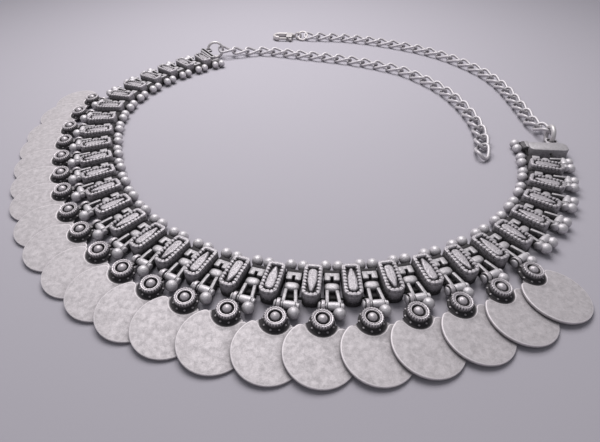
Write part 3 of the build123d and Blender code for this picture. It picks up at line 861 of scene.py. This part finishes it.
def link_matrices(node):
    """A place for each link of a chain: its length along x, and z level with the chain."""
    for points in islands(node):
        spread = points - points.mean(axis=0)
        along = np.linalg.svd(spread, full_matrices=False)[2][0]
        level = UP - along * along[2]
        level /= np.linalg.norm(level)
        matrix = np.eye(4)
        matrix[:3, 0] = along
        matrix[:3, 1] = np.cross(level, along)
        matrix[:3, 2] = level
        matrix[:3, 3] = middle_of(points)
        yield matrix


def link_form(wire=link_wire, sides=10, bend_steps=12, line_steps=40):
    """One twisted link about the origin."""
    bend = (link_width - wire) / 2
    straight = (link_pitch + link_slack + wire) / 2 - bend
    flat = np.vstack([arc_points((straight, 0), bend, -90, 90, bend_steps),
                      arc_points((-straight, 0), bend, 90, 270, bend_steps)])
    line = resampled(np.column_stack([flat, np.zeros(len(flat))]), line_steps)
    twist = np.radians(link_twist) * line[:, 0] / (link_pitch / 2)
    ups = np.stack([np.zeros(len(line)), -np.sin(twist), np.cos(twist)], axis=1)
    line = np.stack([line[:, 0], line[:, 1] * np.cos(twist), line[:, 1] * np.sin(twist)], axis=1)
    return swept(line, ups, circle(wire / 2, 0, sides)[:, :2], 0.9)


# End bars, rings and the clasp
def pierced(outer, inner, hole, bottom, top, bevel, power=5.0):
    """A plate about the origin, outer and inner being its width and length, and hole where the
    middle of its hole is across it. It is darker at its bottom and inside its hole, with painted
    shade."""
    levels = ((bevel, bottom, -0.2), (0, bottom + bevel, 0.1), (0, top - bevel, 0.7),
              (bevel, top, 1.0))
    loops = [squared_circle(outer[0] - 2 * inset, outer[1] - 2 * inset, power, height)
             for inset, height, _ in levels]
    loops += [squared_circle(inner[0] + 2 * inset, inner[1] + 2 * inset, 2.6, height)
              + np.array([hole, 0, 0]) for inset, height, _ in levels[::-1]]
    return skin(loops, [wear_and_shade for _, _, wear_and_shade in levels] + [1.0, 0.4, -0.2, -0.2], ring=True)


def end_bar_form(end):
    """An end bar at the origin, as one row of the table gives it."""
    form = ball_pair(end_tube_diameter, end_tube_length, 0.2)
    block = slab(end["width"], end_bar_length, frame_foot, end["top"], end_bar_round,
                 end_bar_bevel, low_wear_and_shade=0.35, top_wear_and_shade=0.64)
    form.join(block, shift(end["block"], end_bar_reach + end_bar_length / 2))
    shoulder = slab(shoulder_width, shoulder_length, bracket_bottom, bracket_top, 0.3, 0.25,
                    low_wear_and_shade=-0.1, top_wear_and_shade=0.6)
    form.join(shoulder, shift(0, shoulder_reach))
    lug = pierced((end["lug_length"], end["lug_width"]), (end["slot_width"], end["slot_length"]),
                  end["slot"] - end["lug"], end["lug_height"] - lug_thickness / 2,
                  end["lug_height"] + lug_thickness / 2, 0.18)
    return form.join(lug, shift(end["lug"], end["lug_reach"]))


def ring_form(ring, sides=56, wire_sides=14):
    """A ring of rounded wire, set in the plane of its CAD node."""
    points = islands(ring["node"])[0]
    matrix = np.eye(4)
    matrix[:3, 3] = middle_of(points)
    matrix[:3, :3] = np.linalg.svd(points - matrix[:3, 3], full_matrices=False)[2].T
    line = circle((ring["diameter"] - ring["wire"]) / 2, 0, sides)
    section = squared_circle(ring["wire"], ring["wire"], 2.4, 0, wire_sides)[:, :2]
    return Form().join(swept(line, UP, section, 1.0), matrix)


def clasp_matrix():
    """The clasp's own frame: the middle of its eye on the floor, x towards its nose."""
    run = lever_pivot - middle_of(islands("clasp_ring")[0])[:2]
    local = np.array(pivot_place) - np.array(ring_place)
    turn = math.degrees(math.atan2(run[1], run[0]) - math.atan2(local[1], local[0]))
    return shift(*lever_pivot) @ turned("z", turn) @ shift(-pivot_place[0], -pivot_place[1])


def claw_form():
    """The claw: a bar of flat wire from the base round the nose, open on the lever's side, darker
    low down with painted shade.
    """
    radius = (clasp_width - claw_wire) / 2
    turn_place = claw_end - clasp_width / 2
    line = np.vstack([
        [(base_end - 0.5, -radius), (turn_place - 1, -radius)],
        arc_points((turn_place, 0), radius, -90, 90, 18),
        [(claw_gap_end, radius)],
    ])
    line = np.column_stack([line, np.full(len(line), (clasp_bottom + clasp_top) / 2)])
    section = squared_circle(claw_wire, clasp_top - clasp_bottom, 3.2, 0, 16)[:, :2]
    form = swept(line, UP, section, 1.0, closed=False)
    form.wear_and_shade = np.interp(form.points[:, 2], (0.3, 1.4), (0.3, 1.0))
    return form


def clasp_body_form():
    """The clasp's eye, neck, base, pin and claw, in the clasp's own frame."""
    eye = pierced((clasp_eye_outer, clasp_eye_outer), (clasp_eye_inner, clasp_eye_inner), 0,
                  -clasp_eye_half, clasp_eye_half, 0.16, power=2.0)
    eye.wear_and_shade = np.full(len(eye.points), 0.9)
    form = Form().join(eye, shift(0, 0, clasp_eye_height) @ turned("x", 90))
    neck = slab(clasp_neck_length, clasp_neck_width, clasp_eye_height - clasp_neck_half,
                clasp_eye_height + clasp_neck_half, 0.2, 0.2)
    form.join(neck, shift(clasp_neck_start + clasp_neck_length / 2))
    middle = shift((base_start + base_end) / 2)
    base_length = base_end - base_start
    for bottom in (clasp_bottom, clasp_top - plate_thickness):
        plate = slab(base_length, base_width, bottom, bottom + plate_thickness, 0.5, 0.18,
                     low_wear_and_shade=0.5)
        form.join(plate, middle)
    core_width = base_width / 2 + 0.75
    core = slab(base_length, core_width, pin_bottom, pin_top, 0.5, 0.05, low_wear_and_shade=0.4,
                top_wear_and_shade=0.4)
    form.join(core, middle @ shift(0, (core_width - base_width) / 2))
    # The pin between the plates is dark with painted shade
    pin = lathe(((0, pin_bottom, 0.2), (pin_radius, pin_bottom, 0.2), (pin_radius, pin_top, 0.2),
                 (0, pin_top, 0.2)), 16)
    return form.join(pin, shift(*pivot_place)).join(claw_form())


def clasp_lever_form():
    """The clasp's lever, in the clasp's own frame: an eye, an arm, a crank and a thumb tab."""
    low, high = lever_height - lever_thickness / 2, lever_height + lever_thickness / 2
    eye = pierced((lever_eye_outer, lever_eye_outer), (lever_eye_inner, lever_eye_inner), 0, low,
                  high, 0.1, power=2.0)
    form = Form().join(eye, shift(*pivot_place))
    arm_start = pivot_place[0] + 0.5
    arm = slab(lever_end - arm_start, lever_width, low, high, 0.35, 0.2)
    form.join(arm, shift((lever_end + arm_start) / 2, lever_line))
    crank = slab(crank_length, crank_width, low, high, 0.2, 0.12)
    form.join(crank, shift(*crank_place) @ turned("z", crank_turn))
    # The tab is darker low down, with painted shade
    tab = lathe(((0, low, 0.3), (tab_radius - 0.15, low, 0.3), (tab_radius, low + 0.2, 0.7),
                 (tab_radius, high - 0.2, 1.0), (tab_radius - 0.15, high, 1.0), (0, high, 1.0)), 20)
    return form.join(tab, shift(*tab_place))


# Materials
# How far the painted shade in recesses reaches, in millimetres
recess_reach = 3.0
grain_size = 0.25


def wear_and_shade_material(name, bright, dark, roughness, mottle, mottle_size, grain, edge, steep,
                  metallic):
    """A surface bright where it is worn and darkened with painted shade in its recesses, where
    parts meet and on its steep and downward faces, mottled, with a fine grain. The painted shade in
    a recess is deeper with a high edge, and on a steep face with a low steep."""
    material = bpy.data.materials.new(name)
    material.use_nodes = True
    tree = material.node_tree
    nodes, links = tree.nodes, tree.links
    shader = nodes["Principled BSDF"]
    place = nodes.new("ShaderNodeTexCoord")

    def math_node(operation, first, second, clamp=False):
        node = nodes.new("ShaderNodeMath")
        node.operation = operation
        node.use_clamp = clamp
        for socket, value in zip(node.inputs, (first, second)):
            if isinstance(value, (int, float)):
                socket.default_value = value
            else:
                links.new(value, socket)
        return node.outputs[0]

    def noise_node(size, detail, distortion=0.0):
        node = nodes.new("ShaderNodeTexNoise")
        node.inputs["Scale"].default_value = 1 / (size * MM)
        node.inputs["Detail"].default_value = detail
        node.inputs["Distortion"].default_value = distortion
        links.new(place.outputs["Object"], node.inputs["Vector"])
        return node.outputs["Fac"]

    def range_node(value, limits):
        node = nodes.new("ShaderNodeMapRange")
        for socket, limit in zip(("From Min", "From Max", "To Min", "To Max"), limits):
            node.inputs[socket].default_value = limit
        links.new(value, node.inputs["Value"])
        return node.outputs["Result"]

    wear_and_shade = nodes.new("ShaderNodeAttribute")
    wear_and_shade.attribute_name = "wear_and_shade"
    # Painted shade in recesses and where parts meet, from ambient occlusion
    occlusion_shade = nodes.new("ShaderNodeAmbientOcclusion")
    occlusion_shade.samples = 8
    occlusion_shade.inputs["Distance"].default_value = recess_reach * MM
    facing = nodes.new("ShaderNodeSeparateXYZ")
    links.new(nodes.new("ShaderNodeNewGeometry").outputs["Normal"], facing.inputs["Vector"])
    # Painted shade: faces that turn away from the sky are darker, down to the share steep
    upward = range_node(facing.outputs["Z"], (-0.25, 0.65, steep, 1.0))
    shade = math_node("MULTIPLY", math_node("MULTIPLY", wear_and_shade.outputs["Fac"], upward),
                      math_node("POWER", occlusion_shade.outputs["AO"], edge))
    patches = noise_node(mottle_size, 5.0, 0.4)
    specks = noise_node(mottle_size / 5, 3.0)
    uneven = math_node("ADD", math_node("MULTIPLY", math_node("SUBTRACT", patches, 0.5), mottle),
                       math_node("MULTIPLY", math_node("SUBTRACT", specks, 0.5), mottle * 0.6))
    exposure = math_node("ADD", shade, uneven, clamp=True)

    ramp = nodes.new("ShaderNodeValToRGB")
    links.new(exposure, ramp.inputs["Fac"])
    halfway = tuple(0.5 * high + 0.1 * low for high, low in zip(bright, dark))
    stops = ((0.08, dark), (0.45, halfway), (0.90, bright))
    elements = ramp.color_ramp.elements
    elements.new(stops[1][0])
    for element, (position, colour) in zip(elements, stops):
        element.position = position
        element.color = (*colour, 1.0)
    links.new(ramp.outputs["Color"], shader.inputs["Base Color"])

    # Dark places, patina and painted shade alike, are made dull and rough, bright ones bare metal
    for socket, low, high in (("Roughness", min(roughness + 0.35, 0.9), roughness),
                              ("Metallic", 0.1, metallic), ("Specular IOR Level", 0.2, 0.5)):
        links.new(range_node(exposure, (0.0, 0.7, low, high)), shader.inputs[socket])

    bump = nodes.new("ShaderNodeBump")
    bump.inputs["Strength"].default_value = 1.0
    bump.inputs["Distance"].default_value = grain * MM
    fine = math_node("ADD", noise_node(grain_size, 3.0), math_node("MULTIPLY", patches, 2.0))
    links.new(fine, bump.inputs["Height"])
    links.new(bump.outputs["Normal"], shader.inputs["Normal"])
    return material


# The dark tone, for patina and for painted shade
dark_patina_and_shade = (0.060, 0.056, 0.060)
material_table = (
    dict(name="frame_metal", bright=(0.55, 0.52, 0.55), dark=dark_patina_and_shade, roughness=0.42,
         mottle=0.75, mottle_size=0.5, grain=0.09, edge=0.45, steep=0.7, metallic=0.4),
    dict(name="ball_metal", bright=(0.72, 0.69, 0.72), dark=dark_patina_and_shade, roughness=0.45,
         mottle=0.45, mottle_size=0.7, grain=0.06, edge=0.45, steep=0.8, metallic=0.35),
    dict(name="boss_metal", bright=(0.66, 0.62, 0.65), dark=dark_patina_and_shade, roughness=0.42,
         mottle=0.40, mottle_size=0.5, grain=0.05, edge=0.45, steep=0.5, metallic=0.40),
    dict(name="disc_metal", bright=(0.78, 0.735, 0.76), dark=(0.26, 0.24, 0.26), roughness=0.60,
         mottle=0.52, mottle_size=1.2, grain=0.02, edge=0.8, steep=0.7, metallic=0.35),
    dict(name="chain_metal", bright=(0.66, 0.63, 0.66), dark=(0.14, 0.13, 0.14), roughness=0.50,
         mottle=0.15, mottle_size=1.0, grain=0.01, edge=0.4, steep=0.8, metallic=0.35),
    dict(name="ring_metal", bright=(0.72, 0.69, 0.70), dark=(0.15, 0.14, 0.15), roughness=0.45,
         mottle=0.12, mottle_size=1.0, grain=0.01, edge=0.4, steep=0.8, metallic=0.45),
    dict(name="clasp_metal", bright=(0.72, 0.68, 0.68), dark=(0.22, 0.21, 0.21), roughness=0.52,
         mottle=0.12, mottle_size=1.0, grain=0.01, edge=0.4, steep=0.85, metallic=0.35),
    dict(name="thread_fibre", bright=(0.05, 0.05, 0.05), dark=(0.02, 0.02, 0.02), roughness=0.6,
         mottle=0.3, mottle_size=0.3, grain=0.05, edge=0.5, steep=0.3, metallic=0.0),
)
materials = {row["name"]: wear_and_shade_material(**row) for row in material_table}


# Pieces
def made(name, form, material, node, smooth=35.0, body="necklace"):
    """A piece made from a form, in place of a CAD node."""
    mesh = bpy.data.meshes.new(name)
    mesh.from_pydata((form.points * MM).tolist(), [], form.faces)
    # Each point's tone of wear and painted shade, which the materials read
    attribute = mesh.attributes.new("wear_and_shade", "FLOAT", "POINT")
    attribute.data.foreach_set("value", np.clip(form.wear_and_shade, -0.5, 1.3).astype(np.float32))
    tidy = bmesh.new()
    tidy.from_mesh(mesh)
    bmesh.ops.remove_doubles(tidy, verts=tidy.verts, dist=1e-7)
    bmesh.ops.recalc_face_normals(tidy, faces=tidy.faces)
    tidy.to_mesh(mesh)
    tidy.free()
    mesh.shade_smooth()
    mesh.set_sharp_from_angle(angle=math.radians(smooth))
    mesh.materials.append(material)
    piece = bpy.data.objects.new(name, mesh)
    bpy.context.scene.collection.objects.link(piece)
    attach(piece, body)
    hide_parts(node)
    return piece


frame_forms = {side: frame_form(side) for side in (-1, 1)}
ball_forms = {hanger: ball_link_form(hanger) for hanger in (False, True)}
for side, units in (("right", range(1, middle_unit)), ("left", range(middle_unit, unit_count))):
    frames, balls = Form(), Form()
    for unit in units:
        frames.join(frame_forms[1 if unit % 2 else -1], unit_place(unit + 0.5))
        balls.join(ball_forms[first_hanger <= unit <= last_hanger], unit_place(unit))
    for kind, form in (("frame", frames), ("ball", balls)):
        node = f"{kind}_links_{side}"
        made(f"{node}_cast", form, materials[f"{kind}_metal"], node)

# A pendant's mesh starts with its disc, whose outline is shared with its filled top
disc_points = len(disc_form().points) - len(disc_loop(0, 0))
one_pendant = pendant_form()
for number in range(pendant_count):
    node = f"pendant_{number + 1:02d}"
    form = Form().join(one_pendant, pendant_place(first_hanger + number))
    piece = made(f"{node}_cast", form, materials["boss_metal"], node)
    piece.data.materials.append(materials["disc_metal"])
    for polygon in piece.data.polygons:
        if max(polygon.vertices) < disc_points:
            polygon.material_index = 1

one_link = link_form()
for node in ("chain_right", "chain_left"):
    form = Form()
    for matrix in link_matrices(node):
        form.join(one_link, matrix)
    made(f"{node}_wire", form, materials["chain_metal"], node, smooth=80)

for end in end_table:
    form = Form().join(end_bar_form(end), unit_place(end["station"]))
    node = f"end_bar_{end['name']}"
    made(f"{node}_cast", form, materials["ball_metal"], node)
for ring in ring_table:
    made(f"{ring['node']}_wire", ring_form(ring), materials[ring["metal"]], ring["node"],
         smooth=80)
clasp_place = clasp_matrix()
for node, form, body in (("clasp_body", clasp_body_form(), "necklace"),
                         ("clasp_lever", clasp_lever_form(), "lever")):
    made(f"{node}_cast", Form().join(form, clasp_place), materials["clasp_metal"], node,
         body=body)
for node in ("inner_thread", "outer_thread"):
    thread_materials = frame["nodes"][node].data.materials
    thread_materials.clear()
    thread_materials.append(materials["thread_fibre"])

# Floor, its half width in metres
floor_half = 2.5
floor_colour = (0.475, 0.455, 0.505, 1.0)
floor_material = bpy.data.materials.new("floor_paper")
floor_material.use_nodes = True
floor_shader = floor_material.node_tree.nodes["Principled BSDF"]
floor_shader.inputs["Base Color"].default_value = floor_colour
floor_shader.inputs["Roughness"].default_value = 0.75
floor_shader.inputs["Specular IOR Level"].default_value = 0.2
floor_mesh = bpy.data.meshes.new("floor")
floor_mesh.from_pydata([(x * floor_half, y * floor_half, 0.0)
                        for x, y in ((-1, -1), (1, -1), (1, 1), (-1, 1))], [], [(0, 1, 2, 3)])
floor_mesh.materials.append(floor_material)
floor = bpy.data.objects.new("floor", floor_mesh)
bpy.context.scene.collection.objects.link(floor)

# Light, in metres and watts: a broad lamp above and behind, a weak one in front, a pale room
room_colour = (0.86, 0.86, 0.92, 1.0)
room_strength = 0.23
world = bpy.data.worlds.new("room")
world.use_nodes = True
room_inputs = world.node_tree.nodes["Background"].inputs
room_inputs["Color"].default_value = room_colour
room_inputs["Strength"].default_value = room_strength
bpy.context.scene.world = world

lamps = (
    dict(name="lamp_back", place=(-0.022, 0.105, 0.27), size=0.24, power=1.00,
         colour=(1.0, 0.98, 0.98)),
    dict(name="lamp_front", place=(-0.10, -0.45, 0.60), size=0.60, power=0.25,
         colour=(0.95, 0.96, 1.0)),
)
for lamp in lamps:
    light = bpy.data.lights.new(lamp["name"], "AREA")
    light.size = lamp["size"]
    light.energy = lamp["power"]
    light.color = lamp["colour"]
    holder = bpy.data.objects.new(lamp["name"], light)
    holder.location = lamp["place"]
    holder.rotation_euler = (-Vector(lamp["place"])).to_track_quat("-Z", "Y").to_euler()
    bpy.context.scene.collection.objects.link(holder)

# Camera, where the photograph was taken from. Its dip and roll are in radians.
image_width = 600
focal_pixels = 454.8
camera_place = (5.73, -154.52, 88.8)
camera_dip = 0.7128
camera_roll = 0.0067
camera_data = bpy.data.cameras.new("camera")
camera_data.sensor_width = 36.0
camera_data.lens = focal_pixels / image_width * camera_data.sensor_width
camera_data.clip_start = 0.005
camera = bpy.data.objects.new("camera", camera_data)
camera.location = [length * MM for length in camera_place]
camera.rotation_euler = (math.pi / 2 - camera_dip, camera_roll, 0.0)
bpy.context.scene.collection.objects.link(camera)
bpy.context.scene.camera = camera
bpy.context.scene.view_settings.view_transform = "Standard"
